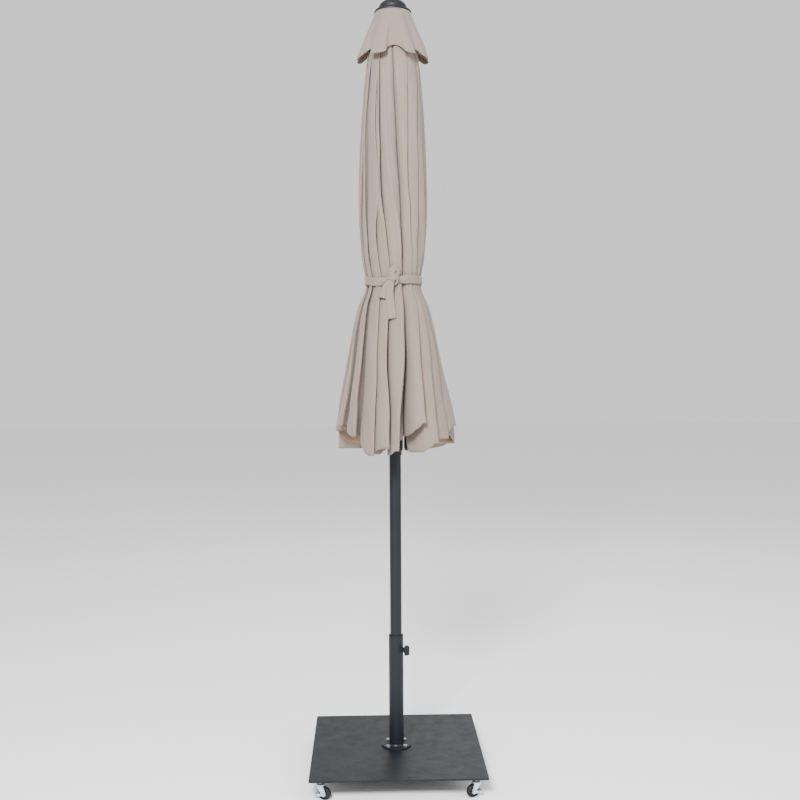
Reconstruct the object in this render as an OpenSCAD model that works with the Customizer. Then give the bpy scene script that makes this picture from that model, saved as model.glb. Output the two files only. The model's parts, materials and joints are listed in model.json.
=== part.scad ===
// Market umbrella with eight ribs, folded and tied, standing in a square steel base on four braked casters.
// Millimetres, +Z up, origin on the floor under the middle of the base plate.

/* [Base] */
// Side of the square steel plate
plate_side = 550; // [400:10:700]
// Thickness of the steel plate
plate_thk = 6; // [4:0.5:12]
// Radius of the plate's corners
plate_corner_r = 4; // [1:0.5:20]
// Wall of the stand tube
tube_wall = 2; // [1.2:0.1:3]
// Height of the stand tube above the plate
tube_h = 366; // [250:2:500]
// Wall of the plastic sleeve between the pole and the mouth of the tube
sleeve_wall = 2.4; // [1.6:0.1:5]
// Thickness of the bolted flange
flange_thk = 6; // [4:0.5:10]
// Depth of the round seat in the plate that the flange stands in
flange_seat = 1; // [0.5:0.1:2.5]
// Distance from the stand tube to the circle of the flange bolts
flange_bolt_gap = 15; // [12:0.5:25]
// Distance from the circle of the flange bolts to the flange's edge
flange_rim = 9.5; // [7.5:0.5:20]
// Nominal diameter of the flange bolts
flange_bolt_d = 8; // [6:1:10]

/* [Casters] */
// Distance from the plate's edge to each caster stem
caster_inset = 35; // [25:1:80]
// Diameter of a caster wheel
wheel_d = 38; // [30:1:60]
// Width of a caster wheel
wheel_w = 15; // [10:1:25]
// Trail from the stem to the axle
caster_trail = 14; // [11:1:20]
// Diameter of a wheel axle
axle_d = 6; // [4:0.5:8]
// Gap between the top of the wheel and the ball race
race_gap = 4; // [3:0.5:10]
// Height of the ball race
race_h = 7; // [6:0.5:12]
// Height of the threaded boss between the plate and the stem's nut
stem_boss_h = 10.7; // [6:0.1:25]

/* [Pole] */
// Outer diameter of the pole
pole_od = 38; // [30:0.5:50]
// Wall of the pole
pole_wall = 1.5; // [1:0.1:2.5]
// Height above the floor where the two pole pieces meet
seam_z = 870; // [720:10:1050]
// Length of the ferrule inside the pole joint
ferrule_len = 200; // [120:10:300]

/* [Folding frame] */
// Height of the crown pivots above the floor
crown_z = 2416; // [2000:4:2900]
// Length of a rib from its crown pivot to the end of its tip
rib_len = 1370; // [1140:10:1650]
// Length of a strut between its pins, and from the crown pivot to the strut pin on the rib
strut_len = 650; // [540:5:780]
// Angle that a rib swings through from folded to open
open_angle = 72; // [60:1:76]
// Width of a rib tube
rib_w = 10; // [8:0.5:12]
// Depth of a rib tube
rib_depth = 12; // [10:0.5:14]
// Wall of a rib tube
rib_wall = 1; // [0.6:0.1:1.6]
// Gap on each side between a strut and the saddle on its rib, less the saddle's own clearance
strut_gap = 0.5; // [0.2:0.1:1.5]
// Depth of a strut
strut_depth = 9; // [7:0.5:12]
// Diameter of the pivot pins
pin_d = 4; // [3:0.5:5]

/* [Folded canopy] */
// Radius of the folded canopy just under the vent
canopy_top_r = 80; // [66:1:98]
// Largest radius of the folded canopy above the tie
bulge_r = 110; // [90:1:135]
// Radius of the folded canopy under the tie
waist_r = 89; // [72:1:110]
// Radius of the folded canopy at its hem
hem_r = 194; // [150:1:240]
// Distance from the crown pivots down to the tie
tie_drop = 823; // [680:1:990]
// Width of the tie strap
tie_w = 27; // [15:1:40]
// Radius of the folded vent at its hem
vent_hem_r = 116; // [96:1:140]
// Height of the folded vent
vent_h = 151; // [120:1:190]

/* [Clamp and cap] */
// Distance from the mouth of the stand tube down to the clamp screw
clamp_drop = 42; // [30:1:120]
// Direction of the clamp screw seen from above, from +X
clamp_azimuth = -40; // [-180:5:180]
// Diameter of the clamp screw
clamp_screw_d = 8; // [6:1:10]
// Half height of the clamp's paddle
paddle_half = 17; // [12:0.5:24]
// Diameter of the cap's brim
cap_d = 118; // [98:1:145]
// Height of the cap from the brim's lower edge to its top
cap_h = 40; // [30:1:60]

/* [Hidden] */
$fn = 64;
N = 8;
sector = 360 / N;
first_rib = sector / 2;
fit = 0.1;         // radial clearance of a piece that is pressed or slid on
run = 0.05;        // radial clearance of a pin in its bore
apart = 0.3;       // gap between pieces that move past each other
cloth = 3;         // thickness of a folded cloth solid

stem_nut_h = 4;
caster_h = wheel_d + race_gap + race_h + apart + stem_nut_h + stem_boss_h;
plate_z = caster_h;
plate_top = plate_z + plate_thk;
seat_z = plate_top - flange_seat;
tube_top = plate_top + tube_h;
pole_r = pole_od / 2;
pole_bore_r = pole_r - pole_wall;
tube_bore_r = pole_r + apart + sleeve_wall + apart;
tube_r = tube_bore_r + tube_wall;
clamp_z = tube_top - clamp_drop;

// flange
collar_r = tube_r + 6;
collar_h = 5;
flange_z = seat_z + flange_thk;           // top of the flange
flange_pcd = 2 * (tube_r + flange_bolt_gap);
flange_r = flange_pcd / 2 + flange_rim;
hex_ratio = 1.8;   // width across corners of a hexagon head over the bolt's diameter
head_h = 5;
nut_h = 6;

// frame geometry
runner_sleeve_r = pole_r + 2.5;
eye_r = strut_depth / 2;
strut_w = rib_w - 2 * strut_gap;
pivot_r = runner_sleeve_r + 1 + eye_r;    // radius of the crown and runner pivots
tip_r = max(rib_w, rib_depth) / 2 + 2;
rib_in = eye_r + 1.5 + tip_r - rib_depth / 2;  // from the pivot line out to the rib's inner face
rib_mid = rib_in + rib_depth / 2;
rib_out = rib_in + rib_depth;
rib_start = 28;                           // from the crown pivot down to the rib tube's end
tongue_w = 6;
strut_pin_z = crown_z - strut_len;
runner_z = crown_z - 2 * strut_len;       // height of the runner's pivots when folded
tip_len = 34;

// crown hub
hub_below = 12;
hub_above = 18;
hub_r = pivot_r + 15;
hub_roof = 9;                             // ceiling of the slots above the pivots
hub_top = crown_z + hub_above;
hub_lid = 4;                              // closes the hub over the pole's end
pole_top = hub_top - hub_lid - 0.2;

// runner
runner_ring_r = pivot_r + 5;
runner_ring_below = 10;
runner_ring_above = 8;
runner_bore_r = pole_r + 0.4;
runner_len = 85;                          // from the runner's pivots down to its lower end
latch_drop = 52;                          // from the runner's pivots down to the latch's pivot
latch_r = pole_r + 6.5;                   // radius of the latch's pivot
latch_w = 8;
latch_nose_up = 10;                       // from the latch's pivot up to its nose
latch_nose_r = 2.3;
latch_tilt = 8;                           // how far the pole holds the latch back from its hole
latch_hole_r = 3.4;
latch_pin_r = 1.25;
latch_azimuth = 90;
runner_rise = 2 * strut_len * (1 - cos(open_angle));

// cloth stack at the top
patch_thk = 1.5;
vent_z = hub_top + patch_thk;             // underside of the vent cloth where the cap clamps it
vent_top = vent_z + cloth;
stud_r = 4;
cap_r = cap_d / 2;
dome_r = cap_r - 15;
brim_z = vent_top + 1.5;                  // lower edge of the cap's brim
cap_wall = 3;
cap_top = brim_z + cap_h;
tie_z = crown_z - tie_drop;
hem_z = crown_z - rib_len + 7;            // the hem hangs just above the ends of the ribs

// casters: seen from above, the direction in which each wheel trails
caster_xy = plate_side / 2 - caster_inset;
casters = [[-1, -1, -20], [1, -1, 200], [1, 1, 150], [-1, 1, 35]];
fork_leg_thk = 1.8;
fork_gap = wheel_w / 2 + 1.2;
race_r = fork_gap + fork_leg_thk + 2.5;
race_z = wheel_d + race_gap;              // underside of the ball race
stem_r = 4;
boss_r = 7.5;
wheel_r = wheel_d / 2;
axle_r = axle_d / 2;
brake_reach = wheel_r + 8;
brake_thk = 1.5;

steel = "#4a4d54";
black = "#1c1d20";
zinc = "#b9bcc4";
fabric = "#c3b6ae";

// ---------- helpers ----------

module ring(r_out, r_in, h) {
    difference() {
        cylinder(r = r_out, h = h);
        translate([0, 0, -1]) cylinder(r = r_in, h = h + 2);
    }
}

// a cylinder along X, from x to x + h
module along_x(r, x, h) {
    translate([x, 0, 0]) rotate([0, 90, 0]) cylinder(r = r, h = h);
}

// a cylinder along Y, centred on y = 0
module across(r, len) {
    rotate([90, 0, 0]) cylinder(r = r, h = len, center = true);
}

// puts a rib's pieces, drawn in the XZ plane, at its place round the pole
module at_rib(i) {
    rotate([0, 0, first_rib + sector * (i - 1)]) children();
}

module at_clamp() {
    translate([0, 0, clamp_z]) rotate([0, 0, clamp_azimuth]) children();
}

module at_flange_bolts() {
    for (a = [45:90:315]) rotate([0, 0, a]) translate([flange_pcd / 2, 0, 0]) children();
}

// places a caster's pieces, with its stem on Z and its wheel trailing along +X
module at_caster(i) {
    c = casters[i - 1];
    translate([c[0] * caster_xy, c[1] * caster_xy, 0]) rotate([0, 0, c[2]]) children();
}

// ---------- base ----------

module base_plate() {
    flat = plate_side - 2 * plate_corner_r;
    color(steel) difference() {
        translate([0, 0, plate_z]) union() {
            translate([-plate_side / 2, -flat / 2, 0]) cube([plate_side, flat, plate_thk]);
            translate([-flat / 2, -plate_side / 2, 0]) cube([flat, plate_side, plate_thk]);
            for (x = [-1, 1], y = [-1, 1])
                translate([x * flat / 2, y * flat / 2, 0]) cylinder(r = plate_corner_r, h = plate_thk);
        }
        translate([0, 0, seat_z]) cylinder(r = flange_r + apart, h = flange_seat + 1);
        at_flange_bolts()
            translate([0, 0, plate_z - 1]) cylinder(d = flange_bolt_d + 0.6, h = plate_thk + 2);
    }
}

module stand_tube() {
    color(steel) difference() {
        translate([0, 0, seat_z]) ring(tube_r, tube_bore_r, tube_top - seat_z);
        at_clamp() along_x(clamp_screw_d / 2 + 0.5, 0, tube_r + 1);
    }
}

module tube_flange() {
    color(steel) translate([0, 0, seat_z]) difference() {
        union() {
            cylinder(r = flange_r, h = flange_thk - 1);
            translate([0, 0, flange_thk - 1]) cylinder(r1 = flange_r, r2 = flange_r - 1, h = 1);
            translate([0, 0, flange_thk]) cylinder(r1 = collar_r, r2 = tube_r + 2, h = collar_h);
        }
        translate([0, 0, -1]) cylinder(r = tube_r + fit, h = flange_thk + collar_h + 2);
        at_flange_bolts() translate([0, 0, -1]) cylinder(d = flange_bolt_d + 0.6, h = flange_thk + 2);
        at_flange_bolts() translate([0, 0, flange_thk]) cylinder(d = flange_bolt_d * hex_ratio + 1, h = head_h);
    }
}

// a bolt through flange and plate, with a hexagon head above and a nut below
module flange_fasteners() {
    head_r = flange_bolt_d * hex_ratio / 2;
    color(black) at_flange_bolts() {
        translate([0, 0, flange_z]) cylinder(r = head_r, h = head_h, $fn = 6);
        translate([0, 0, plate_z - nut_h - 2]) cylinder(d = flange_bolt_d, h = flange_z + nut_h + 2 - plate_z);
        translate([0, 0, plate_z - nut_h]) difference() {
            cylinder(r = head_r, h = nut_h, $fn = 6);
            translate([0, 0, -1]) cylinder(d = flange_bolt_d + 2 * fit, h = nut_h + 2);
        }
    }
}

module bottom_bush() {
    color(black) translate([0, 0, seat_z]) ring(tube_bore_r - fit, pole_r + apart, 40);
}

module clamp_boss() {
    depth = 8;
    color(steel) at_clamp() difference() {
        along_x(clamp_screw_d, tube_r - 3, depth + 3);
        along_x(clamp_screw_d / 2 + fit, 0, tube_r + depth + 1);
        translate([0, 0, -tube_h]) cylinder(r = tube_r, h = 2 * tube_h);
    }
}

// screw and paddle, screwed in until the tip all but touches the pole
module clamp_knob() {
    screw_in = pole_r + apart;
    neck = tube_r + 10;
    color(black) at_clamp() {
        along_x(clamp_screw_d / 2, screw_in, neck - screw_in);
        along_x(clamp_screw_d * 0.75, neck - 1.5, 5);
        hull() {
            translate([neck + 3, 0, 0]) across(4, 8);
            for (s = [-1, 1]) {
                translate([neck + 8, 0, s * (paddle_half - 4)]) across(4, 8);
                translate([neck + 15, 0, s * (paddle_half - 6)]) across(4, 8);
            }
        }
    }
}

// plastic insert that centres the pole in the mouth of the tube
module reducer_sleeve() {
    depth = clamp_drop - clamp_screw_d;
    color(black) difference() {
        union() {
            translate([0, 0, tube_top - depth]) cylinder(r = tube_bore_r - apart, h = depth + 1);
            translate([0, 0, tube_top + apart]) cylinder(r = tube_r + 0.3, h = 2);
            translate([0, 0, tube_top + apart + 2]) cylinder(r1 = tube_r + 0.3, r2 = tube_r - 0.9, h = 1.2);
        }
        translate([0, 0, tube_top - depth - 1]) cylinder(r = pole_r + apart, h = depth + 10);
    }
}

// ---------- casters ----------

// threaded boss under the plate, the stem in it and the nut that locks the stem
module caster_stems() {
    nut_z = race_z + race_h + apart;
    color(black) for (i = [1:4]) at_caster(i) {
        translate([0, 0, caster_h - stem_boss_h]) ring(boss_r, stem_r + fit, stem_boss_h);
        translate([0, 0, race_z - 2]) cylinder(r = stem_r, h = caster_h - race_z + 2);
        translate([0, 0, nut_z]) difference() {
            cylinder(r = stem_r * hex_ratio, h = stem_nut_h, $fn = 6);
            translate([0, 0, -1]) cylinder(r = stem_r + fit, h = stem_nut_h + 2);
        }
    }
}

// ball race and two legs of zinc sheet, with the axle bolt, its head and its nut
module caster_fork() {
    color(zinc) {
        difference() {
            union() {
                translate([0, 0, race_z + 2]) cylinder(r = race_r, h = race_h - 4);
                translate([0, 0, race_z + race_h - 2]) cylinder(r1 = race_r, r2 = race_r - 3, h = 2);
                translate([0, 0, race_z]) cylinder(r1 = race_r - 2, r2 = race_r, h = 2);
                for (s = [-1, 1]) translate([0, s * (fork_gap + fork_leg_thk / 2), 0]) fork_leg();
            }
            translate([0, 0, race_z - 3]) cylinder(r = stem_r + apart, h = race_h + 6);
            translate([caster_trail, 0, wheel_r]) across(axle_r + fit, 4 * wheel_w);
        }
        translate([caster_trail, 0, wheel_r]) {
            across(axle_r, 2 * (fork_gap + fork_leg_thk + brake_thk) + 2);
            for (s = [-1, 1]) translate([0, s * (fork_gap + fork_leg_thk + brake_thk + 2.2), 0])
                rotate([90, 0, 0]) cylinder(r = axle_r * 1.7, h = 2.4, center = true, $fn = 6);
        }
    }
}

// one side of the fork: a sheet from the race down to the axle
module fork_leg() {
    hull() {
        translate([-7, 0, race_z + 3]) across(3, fork_leg_thk);
        translate([8, 0, race_z + 3]) across(3, fork_leg_thk);
        translate([caster_trail, 0, wheel_r]) across(axle_r + 3.5, fork_leg_thk);
    }
}

module caster_wheel() {
    edge = 2.5;
    hub_w = wheel_w + 1.4;
    color(black) translate([caster_trail, 0, wheel_r]) rotate([90, 0, 0]) difference() {
        union() {
            cylinder(r = wheel_r, h = wheel_w - 2 * edge, center = true);
            for (s = [0, 1]) mirror([0, 0, s]) translate([0, 0, wheel_w / 2 - edge])
                cylinder(r1 = wheel_r, r2 = wheel_r - edge, h = edge);
            cylinder(r = axle_r + 3, h = hub_w, center = true);
        }
        for (s = [0, 1]) mirror([0, 0, s]) translate([0, 0, wheel_w / 2 - 2])
            ring(wheel_r - 4.5, axle_r + 3, 3);
        cylinder(r = axle_r + fit, h = 2 * wheel_w, center = true);
    }
}

// brake lever: two arms that turn on the axle and a tab in front of the wheel to step on
module caster_brake() {
    arm_y = fork_gap + fork_leg_thk + 0.2 + brake_thk / 2;
    arm_h = 7;
    color(zinc) translate([caster_trail, 0, wheel_r]) rotate([0, -8, 0]) difference() {
        union() {
            for (s = [-1, 1]) translate([0, s * arm_y, 0]) {
                across(axle_r + 3, brake_thk);
                translate([-brake_reach, -brake_thk / 2, -arm_h / 2]) cube([brake_reach, brake_thk, arm_h]);
            }
            translate([-brake_reach - brake_thk, -arm_y - brake_thk / 2, -arm_h / 2])
                cube([brake_thk, 2 * arm_y + brake_thk, arm_h]);
            translate([-brake_reach - 5, -arm_y, -arm_h / 2]) cube([5, 2 * arm_y, brake_thk]);
        }
        across(axle_r + fit, 4 * wheel_w);
    }
}

// ---------- pole ----------

// the holes are where the runner's latch drops in, folded and open
module pole_tube(z0, z1) {
    nose_z = runner_z - latch_drop + latch_nose_up;
    difference() {
        translate([0, 0, z0]) ring(pole_r, pole_bore_r, z1 - z0);
        for (rise = [0, runner_rise])
            translate([0, 0, nose_z + rise]) rotate([0, 0, latch_azimuth]) along_x(latch_hole_r, 0, pole_r + 5);
    }
}

module lower_pole() {
    color(steel) pole_tube(seat_z + 3, seam_z);
}

module upper_pole() {
    color(steel) pole_tube(seam_z + fit, pole_top);
}

module pole_ferrule() {
    color(black) translate([0, 0, seam_z - ferrule_len / 2])
        ring(pole_bore_r - run, pole_bore_r - 2, ferrule_len);
}

module pole_foot() {
    color(black) translate([0, 0, seat_z + 0.2]) {
        cylinder(r = pole_r, h = 2.8);
        translate([0, 0, 2.8]) cylinder(r = pole_bore_r - fit, h = 20);
    }
}

// ring with a slot for each rib, open below and outward
module crown_hub() {
    color(black) difference() {
        translate([0, 0, crown_z]) union() {
            translate([0, 0, -hub_below]) cylinder(r1 = hub_r - 3, r2 = hub_r, h = 3);
            translate([0, 0, 3 - hub_below]) cylinder(r = hub_r, h = hub_below + hub_above - 6);
            translate([0, 0, hub_above - 3]) cylinder(r1 = hub_r, r2 = hub_r - 3, h = 3);
        }
        translate([0, 0, crown_z - hub_below - 1]) cylinder(r = pole_r + fit, h = hub_below + 1 + hub_above - hub_lid);
        translate([0, 0, crown_z]) cylinder(r = stud_r + fit, h = hub_above + 1);
        for (i = [1:N]) at_rib(i) {
            translate([pivot_r - 6, -tongue_w / 2 - apart, crown_z - hub_below - 1])
                cube([hub_r, tongue_w + 2 * apart, hub_below + 1 + hub_roof]);
            translate([pivot_r, 0, crown_z]) across(pin_d / 2 + run, tongue_w + 7.2);
        }
    }
}

module crown_pins() {
    color(zinc) for (i = [1:N]) at_rib(i) translate([pivot_r, 0, crown_z]) across(pin_d / 2, tongue_w + 7);
}

// ---------- folding frame ----------

// rib tube with its crown tongue, strut saddle, strut pin, rivet and tip, folded straight down
module rib(i) {
    saddle_h = 24;
    saddle_in = rib_w / 2 + fit;
    saddle_out = saddle_in + 2;
    tube_x = pivot_r + rib_in;
    plug_w = min(tongue_w, rib_w - 2 * rib_wall - 2 * fit);
    color(steel) at_rib(i) {
        difference() {
            translate([tube_x, -rib_w / 2, crown_z - rib_len + 12])
                cube([rib_depth, rib_w, rib_len - 12 - rib_start - fit]);
            translate([tube_x + rib_wall, -rib_w / 2 + rib_wall, crown_z - rib_len])
                cube([rib_depth - 2 * rib_wall, rib_w - 2 * rib_wall, rib_len]);
            translate([pivot_r + rib_mid, 0, strut_pin_z]) across(1.5 + fit, 2 * rib_w);
        }
        difference() {
            union() {
                hull() {
                    translate([pivot_r, 0, crown_z]) across(5, tongue_w);
                    translate([tube_x, -tongue_w / 2, crown_z - rib_start]) cube([rib_depth, tongue_w, 1]);
                }
                translate([tube_x + rib_wall + fit, -plug_w / 2, crown_z - rib_start - 22])
                    cube([rib_depth - 2 * rib_wall - 2 * fit, plug_w, 23]);
            }
            translate([pivot_r, 0, crown_z]) across(pin_d / 2 + run, 2 * tongue_w);
        }
        difference() {
            translate([pivot_r - eye_r, -saddle_out, strut_pin_z - saddle_h / 2])
                cube([eye_r + rib_out + 2, 2 * saddle_out, saddle_h]);
            translate([pivot_r - eye_r - 1, -saddle_in, strut_pin_z - saddle_h])
                cube([eye_r + rib_out + 1 + fit, 2 * saddle_in, 2 * saddle_h]);
            translate([pivot_r, 0, strut_pin_z]) across(pin_d / 2 + run, 4 * saddle_out);
            translate([pivot_r + rib_mid, 0, strut_pin_z]) across(1.5 + fit, 4 * saddle_out);
        }
        translate([pivot_r, 0, strut_pin_z]) across(pin_d / 2, 2 * saddle_out + 1);
        translate([pivot_r + rib_mid, 0, strut_pin_z]) across(1.5, 2 * saddle_out + 1);
        rib_tip();
    }
}

// plastic tip over the end of the rib
module rib_tip() {
    translate([pivot_r + rib_mid, 0, crown_z - rib_len + tip_r]) difference() {
        union() {
            cylinder(r = tip_r, h = tip_len - 2);
            translate([0, 0, tip_len - 2]) cylinder(r1 = tip_r, r2 = tip_r - 1, h = 2);
            sphere(r = tip_r);
        }
        translate([-rib_depth / 2 - fit, -rib_w / 2 - fit, 12 - tip_r - fit])
            cube([rib_depth + 2 * fit, rib_w + 2 * fit, tip_len + tip_r]);
    }
}

// steel channel, open towards the pole, with a pin bore at each end
module strut(i) {
    web = 1;
    solid_end = 14;
    color(steel) at_rib(i) translate([pivot_r, 0, strut_pin_z]) difference() {
        union() {
            translate([-eye_r, -strut_w / 2, -strut_len]) cube([strut_depth, strut_w, strut_len]);
            across(eye_r, strut_w);
            translate([0, 0, -strut_len]) across(eye_r, strut_w);
        }
        translate([-eye_r - 1, -strut_w / 2 + web, solid_end - strut_len])
            cube([strut_depth - web + 1, strut_w - 2 * web, strut_len - 2 * solid_end]);
        across(pin_d / 2 + run, 2 * strut_w);
        translate([0, 0, -strut_len]) across(pin_d / 2 + run, 2 * strut_w);
    }
}

// slides on the pole and carries the lower ends of the struts
module runner() {
    slot_w = strut_w + 2 * apart + 0.2;
    slot_floor = eye_r + 1;
    cheek = 2.6;
    cheek_y = latch_w / 2 + 0.2;
    color(black) difference() {
        translate([0, 0, runner_z]) union() {
            translate([0, 0, -runner_ring_below])
                cylinder(r = runner_ring_r, h = runner_ring_below + runner_ring_above);
            translate([0, 0, -runner_len]) cylinder(r = runner_sleeve_r, h = runner_len + runner_ring_above + 6);
            translate([0, 0, -runner_ring_below - 6])
                cylinder(r1 = runner_sleeve_r - 0.5, r2 = runner_ring_r, h = 6);
            rotate([0, 0, latch_azimuth]) for (y = [cheek_y, -cheek_y - cheek])
                translate([pole_r + 1, y, -latch_drop - 4]) cube([9, cheek, 8]);
        }
        translate([0, 0, runner_z - runner_len - 1]) cylinder(r = runner_bore_r, h = runner_len + 40);
        for (i = [1:N]) at_rib(i) {
            difference() {
                translate([runner_sleeve_r - 5, -slot_w / 2, runner_z - slot_floor])
                    cube([25, slot_w, slot_floor + runner_ring_above + 1]);
                translate([0, 0, runner_z - 30]) cylinder(r = runner_sleeve_r + 0.25, h = 60);
            }
            translate([pivot_r, 0, runner_z]) across(pin_d / 2 + run, slot_w + 5.2);
        }
        translate([0, 0, runner_z - latch_drop]) rotate([0, 0, latch_azimuth]) {
            translate([0, 0, latch_nose_up]) along_x(latch_hole_r + 0.6, 0, pole_r + 10);
            translate([latch_r, 0, 0]) across(latch_pin_r + run, 30);
        }
    }
}

module runner_pins() {
    color(zinc) {
        for (i = [1:N]) at_rib(i) translate([pivot_r, 0, runner_z]) across(pin_d / 2, strut_w + 5.8);
        translate([0, 0, runner_z - latch_drop]) rotate([0, 0, latch_azimuth])
            translate([latch_r, 0, 0]) across(latch_pin_r, latch_w + 5.6);
    }
}

// rocker in the runner's cheeks; its nose rides on the pole between the holes, or drops into one
module runner_latch() {
    half = latch_w / 2;
    color(black) translate([0, 0, runner_z - latch_drop]) rotate([0, 0, latch_azimuth])
        translate([latch_r, 0, 0]) rotate([0, latch_tilt, 0]) difference() {
            union() {
                across(3, latch_w);
                translate([-1.5, -half, 0]) cube([4, latch_w, 13]);
                translate([1, -half, -18]) cube([2.5, latch_w, 18]);
                translate([1, -half, -18]) cube([6.5, latch_w, 11]);
                translate([0, 0, latch_nose_up]) along_x(latch_nose_r, pole_r - 0.8 - latch_r, 7);
            }
            across(latch_pin_r + run, 2 * latch_w);
        }
}

// bent leaf between the runner's sleeve and the latch's lower end
module latch_spring() {
    leaf_w = 5;
    leaf_r = 0.25;
    foot_x = runner_sleeve_r + leaf_r + 0.1;
    reach = 13;
    blade_x = latch_r + (1 - leaf_r - 0.1) / cos(latch_tilt) - reach * tan(latch_tilt);
    color(zinc) translate([0, 0, runner_z - latch_drop]) rotate([0, 0, latch_azimuth]) {
        hull() {
            translate([foot_x, 0, -15]) across(leaf_r, leaf_w);
            translate([foot_x + 0.5, 0, -6]) across(leaf_r, leaf_w);
        }
        hull() {
            translate([foot_x + 0.5, 0, -6]) across(leaf_r, leaf_w);
            translate([blade_x, 0, -reach]) across(leaf_r, leaf_w);
        }
    }
}

// ---------- cap and cloth ----------

// stepped dome with a brim; its boss presses the vent cloth onto the hub
module finial_cap() {
    step_z = brim_z + cap_h * 0.225;
    shoulder_z = brim_z + cap_h * 0.475;
    color(black) difference() {
        rotate_extrude() polygon([
            [0, brim_z + 4], [cap_r - cap_wall, brim_z], [cap_r, brim_z], [cap_r, brim_z + 2],
            [cap_r - 4, step_z - 2], [dome_r + 4, step_z], [dome_r + 1, step_z + 2], [dome_r, shoulder_z],
            [dome_r - 4, brim_z + cap_h * 0.65], [dome_r * 0.72, brim_z + cap_h * 0.825],
            [dome_r * 0.45, brim_z + cap_h * 0.9375], [dome_r * 0.22, brim_z + cap_h * 0.9875], [0, cap_top]
        ]);
        translate([0, 0, brim_z - 10]) ring(dome_r - cap_wall - 2, 12, shoulder_z - brim_z + 10);
        translate([0, 0, brim_z - 10]) ring(cap_r - cap_wall, 12, 14 - cap_wall);
        translate([0, 0, brim_z]) cylinder(r = stud_r + fit, h = cap_h * 0.65);
    }
    color(black) translate([0, 0, vent_top]) ring(12, stud_r + fit, brim_z + 5 - vent_top);
}

module finial_stud() {
    color(zinc) {
        translate([0, 0, hub_top - hub_lid - 12]) cylinder(r = stud_r, h = brim_z + cap_h * 0.6 - hub_top + hub_lid + 12);
        translate([0, 0, pole_top - 6.5]) difference() {
            cylinder(r = stud_r * hex_ratio, h = 6.5, $fn = 6);
            translate([0, 0, -1]) cylinder(r = stud_r + fit, h = 9);
        }
    }
}

module crown_patch() {
    color(black) translate([0, 0, hub_top]) ring(hub_r - 4, stud_r + fit, patch_thk);
}

// cosine blend from a to b as t runs from 0 to 1
function ease(a, b, t) = a + (b - a) * (1 - cos(180 * t)) / 2;

function blend(stations, steps) = [
    for (k = [0:len(stations) - 2], j = [0:steps - 1])
        let (t = j / steps, a = stations[k], b = stations[k + 1])
            [ease(a[0], b[0], t), a[1] + (b[1] - a[1]) * t]
];

function back_to_front(points) = [for (k = [len(points) - 1:-1:0]) points[k]];

// closed outline of a cloth shell whose outside runs through the stations
function shell(points) = concat(points, [for (p = back_to_front(points)) [p[0] - cloth, p[1]]]);

module vent_canopy() {
    top_r = cap_r - 4;
    hem = vent_z - vent_h;
    outside = [
        [stud_r + fit, vent_top], [top_r - 6, vent_top], [top_r, vent_top - 2], [top_r + 4, vent_top - 7],
        [top_r + (vent_hem_r - top_r) * 0.4, vent_z - vent_h * 0.35],
        [top_r + (vent_hem_r - top_r) * 0.8, vent_z - vent_h * 0.72], [vent_hem_r, hem]
    ];
    inside = [
        [vent_hem_r - cloth - 1, hem],
        [top_r + (vent_hem_r - top_r) * 0.8 - cloth - 1, vent_z - vent_h * 0.72],
        [top_r + (vent_hem_r - top_r) * 0.4 - cloth - 1, vent_z - vent_h * 0.35],
        [top_r - 1, vent_z - 7], [top_r - 4, vent_z - 1], [top_r - 7, vent_z], [stud_r + fit, vent_z]
    ];
    color(fabric) rotate_extrude() polygon(concat(outside, inside));
}

// one eighth of the folded canopy
module canopy_panel(i) {
    top_z = crown_z - hub_below - 4;
    gap = 0.3;
    vent_hem_z = vent_z - vent_h;
    skirt_h = tie_z - hem_z;
    stations = [
        [pivot_r + rib_out + cloth + 2.5, top_z], [canopy_top_r, vent_hem_z],
        [bulge_r, ease(vent_hem_z, tie_z, 0.6)], [waist_r, tie_z + tie_w / 2], [waist_r, tie_z - tie_w / 2],
        [hem_r * 0.78, tie_z - skirt_h * 0.5], [hem_r, tie_z - skirt_h * 0.87], [hem_r - 4, hem_z]
    ];
    color(fabric) rotate([0, 0, first_rib + sector * (i - 1.5) + gap]) rotate_extrude(angle = sector - 2 * gap)
        polygon(shell(blend(stations, 5)));
}

// strap round the waist, its knot and its two ends
module tie_strap() {
    inner = waist_r + apart + 2;
    flare = atan(2 * (hem_r * 0.78 - waist_r) / (tie_z - hem_z)) + 3;
    color(fabric) {
        translate([0, 0, tie_z - tie_w / 2]) ring(inner + 3, inner, tie_w);
        translate([0, -inner - tie_w * 0.34, tie_z]) scale([1, 0.5, 1]) sphere(r = tie_w * 0.6);
        for (s = [[-1, tie_w * 1.6], [1, tie_w * 3.2]])
            translate([s[0] * tie_w * 0.3, -inner - 6, tie_z]) rotate([-flare, 0, 0])
                translate([-tie_w / 2, -1.5 - s[0], -s[1]]) cube([tie_w, 3, s[1]]);
    }
}

base_plate();
stand_tube();
tube_flange();
flange_fasteners();
bottom_bush();
clamp_boss();
caster_stems();
clamp_knob();
reducer_sleeve();
at_caster(1) caster_fork();  // caster_fork_1
at_caster(2) caster_fork();  // caster_fork_2
at_caster(3) caster_fork();  // caster_fork_3
at_caster(4) caster_fork();  // caster_fork_4
at_caster(1) caster_wheel();  // caster_wheel_1
at_caster(2) caster_wheel();  // caster_wheel_2
at_caster(3) caster_wheel();  // caster_wheel_3
at_caster(4) caster_wheel();  // caster_wheel_4
at_caster(1) caster_brake();  // caster_brake_1
at_caster(2) caster_brake();  // caster_brake_2
at_caster(3) caster_brake();  // caster_brake_3
at_caster(4) caster_brake();  // caster_brake_4
lower_pole();
upper_pole();
pole_ferrule();
pole_foot();
crown_hub();
crown_pins();
finial_cap();
finial_stud();
crown_patch();
vent_canopy();
tie_strap();
runner();
runner_pins();
runner_latch();
latch_spring();
rib(1);  // rib_1
rib(2);  // rib_2
rib(3);  // rib_3
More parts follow.
